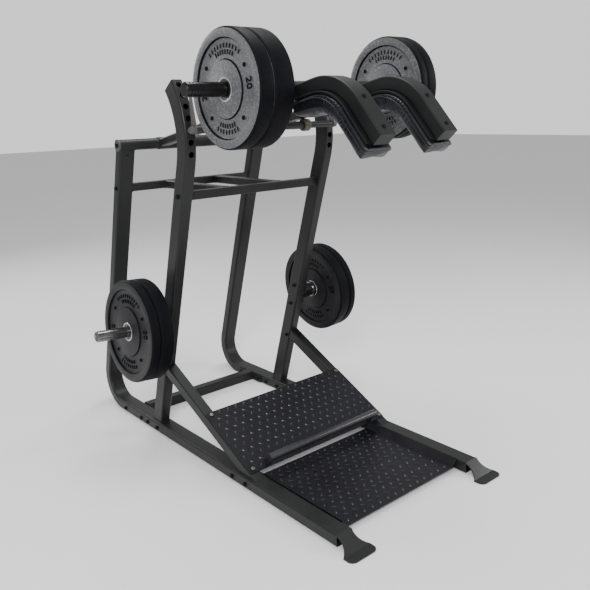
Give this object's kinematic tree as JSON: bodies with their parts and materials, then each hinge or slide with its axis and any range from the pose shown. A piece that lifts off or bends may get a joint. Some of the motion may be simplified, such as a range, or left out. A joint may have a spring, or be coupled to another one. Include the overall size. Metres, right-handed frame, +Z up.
{
  "type": "leverage hack squat machine",
  "caption": "Plate-loaded lever squat machine: hinged shoulder-pad lever on a tube frame with a tilted tread plate, adjustable stop bar, load horns and storage horns.",
  "frame": {"origin": "middle of the footprint on the floor", "axes": "+Z up, +X across the machine to the right of a user who faces the lever, -Y the user end and +Y the pivot end"},
  "size_m": [1.4912, 1.9331, 1.8027],
  "materials": {
    "frame_paint": "satin charcoal powder coat",
    "tread_paint": "black coated raised-lozenge tread plate",
    "plate_rubber": "moulded black rubber, finely speckled",
    "pad_vinyl": "glossy black vinyl over foam",
    "board_black": "black painted plywood",
    "horn_chrome": "dark polished chrome",
    "bolt_black": "black oxide",
    "screw_zinc": "zinc plated",
    "cap_plastic": "moulded black plastic",
    "roller_rubber": "hard moulded rubber",
    "shaft_steel": "ground steel",
    "bush_bronze": "sintered bronze",
    "bar_gloss": "gloss black coated tube"
  },
  "bodies": {
    "frame": {"rear_upright_left": "frame_paint", "rear_upright_right": "frame_paint", "middle_rail_left": "frame_paint", "middle_rail_right": "frame_paint", "front_rail_left": "frame_paint", "front_rail_right": "frame_paint", "toe_plate_left": "frame_paint", "toe_plate_right": "frame_paint", "rail_inserts": "frame_paint", "front_upright_left": "frame_paint", "front_upright_right": "frame_paint", "upright_caps": "cap_plastic", "diagonal_brace_left": "frame_paint", "diagonal_brace_right": "frame_paint", "rear_cross_tube": "frame_paint", "mid_front_tube": "frame_paint", "mid_rear_tube": "frame_paint", "mid_long_tube_left": "frame_paint", "mid_long_tube_right": "frame_paint", "upper_tread_plate": "tread_paint", "tread_screws": "screw_zinc", "calf_bar": "bar_gloss", "lower_tread_plate": "tread_paint", "storage_horn_left": "horn_chrome", "storage_horn_right": "horn_chrome", "rail_bolts": "bolt_black", "upright_bolts": "bolt_black", "pivot_housing_left": "frame_paint", "pivot_housing_right": "frame_paint", "pivot_shaft": "shaft_steel", "pivot_end_caps": "cap_plastic", "pivot_end_bolts": "bolt_black"},
    "lever": {"lever_sleeve": "frame_paint", "pivot_bushes": "bush_bronze", "lever_tube_left": "frame_paint", "lever_tube_right": "frame_paint", "lever_crossbar": "frame_paint", "shoulder_arm_left": "frame_paint", "shoulder_arm_right": "frame_paint", "arm_caps": "cap_plastic", "arm_bolts": "bolt_black", "pad_board_left": "board_black", "pad_board_right": "board_black", "shoulder_pad_left": "pad_vinyl", "shoulder_pad_right": "pad_vinyl", "load_horn_left": "horn_chrome", "load_horn_right": "horn_chrome"},
    "stop_bar": {"stop_bar": "frame_paint", "stop_bar_ears": "frame_paint"},
    "stop_roller_left": {"stop_roller_left": "roller_rubber"},
    "stop_roller_right": {"stop_roller_right": "roller_rubber"},
    "top_inner_plate_left": {"top_inner_plate_left": "plate_rubber"},
    "top_inner_plate_right": {"top_inner_plate_right": "plate_rubber"},
    "top_outer_plate_left": {"top_outer_plate_left": "plate_rubber"},
    "top_outer_plate_right": {"top_outer_plate_right": "plate_rubber"},
    "stored_inner_plate_left": {"stored_inner_plate_left": "plate_rubber"},
    "stored_inner_plate_right": {"stored_inner_plate_right": "plate_rubber"},
    "stored_outer_plate_left": {"stored_outer_plate_left": "plate_rubber"},
    "stored_outer_plate_right": {"stored_outer_plate_right": "plate_rubber"}
  },
  "joints": [
    {"name": "lever_pivot", "type": "hinge", "parent": "frame", "child": "lever", "pos_m": [0, 0.56367, 1.387], "axis": [-1, 0, 0], "range_deg": [0, 35]},
    {"name": "stop_bar_pull", "type": "slide", "parent": "frame", "child": "stop_bar", "axis": [0, -0.9955, 0.095], "range_m": [0, 0.07]},
    {"name": "stop_roller_spin_left", "type": "hinge", "parent": "stop_bar", "child": "stop_roller_left", "pos_m": [-0.208, -0.02568, 1.45593], "axis": [1, 0, 0], "continuous": true},
    {"name": "stop_roller_spin_right", "type": "hinge", "parent": "stop_bar", "child": "stop_roller_right", "pos_m": [0.208, -0.02568, 1.45593], "axis": [1, 0, 0], "continuous": true},
    {"name": "top_inner_plate_slide_left", "type": "slide", "parent": "lever", "child": "top_inner_plate_left", "axis": [-1, 0, 0], "range_m": [0, 0.08]},
    {"name": "top_outer_plate_slide_left", "type": "slide", "parent": "top_inner_plate_left", "child": "top_outer_plate_left", "axis": [-1, 0, 0], "range_m": [0, 0.08]},
    {"name": "stored_inner_plate_slide_left", "type": "slide", "parent": "frame", "child": "stored_inner_plate_left", "axis": [-0.9976, 0, 0.0698], "range_m": [0, 0.07]},
    {"name": "stored_outer_plate_slide_left", "type": "slide", "parent": "stored_inner_plate_left", "child": "stored_outer_plate_left", "axis": [-0.9976, 0, 0.0698], "range_m": [0, 0.07]},
    {"name": "top_inner_plate_slide_right", "type": "slide", "parent": "lever", "child": "top_inner_plate_right", "axis": [1, 0, 0], "range_m": [0, 0.105]},
    {"name": "top_outer_plate_slide_right", "type": "slide", "parent": "top_inner_plate_right", "child": "top_outer_plate_right", "axis": [1, 0, 0], "range_m": [0, 0.105]},
    {"name": "stored_inner_plate_slide_right", "type": "slide", "parent": "frame", "child": "stored_inner_plate_right", "axis": [0.9976, 0, 0.0698], "range_m": [0, 0.07]},
    {"name": "stored_outer_plate_slide_right", "type": "slide", "parent": "stored_inner_plate_right", "child": "stored_outer_plate_right", "axis": [0.9976, 0, 0.0698], "range_m": [0, 0.07]}
  ]
}
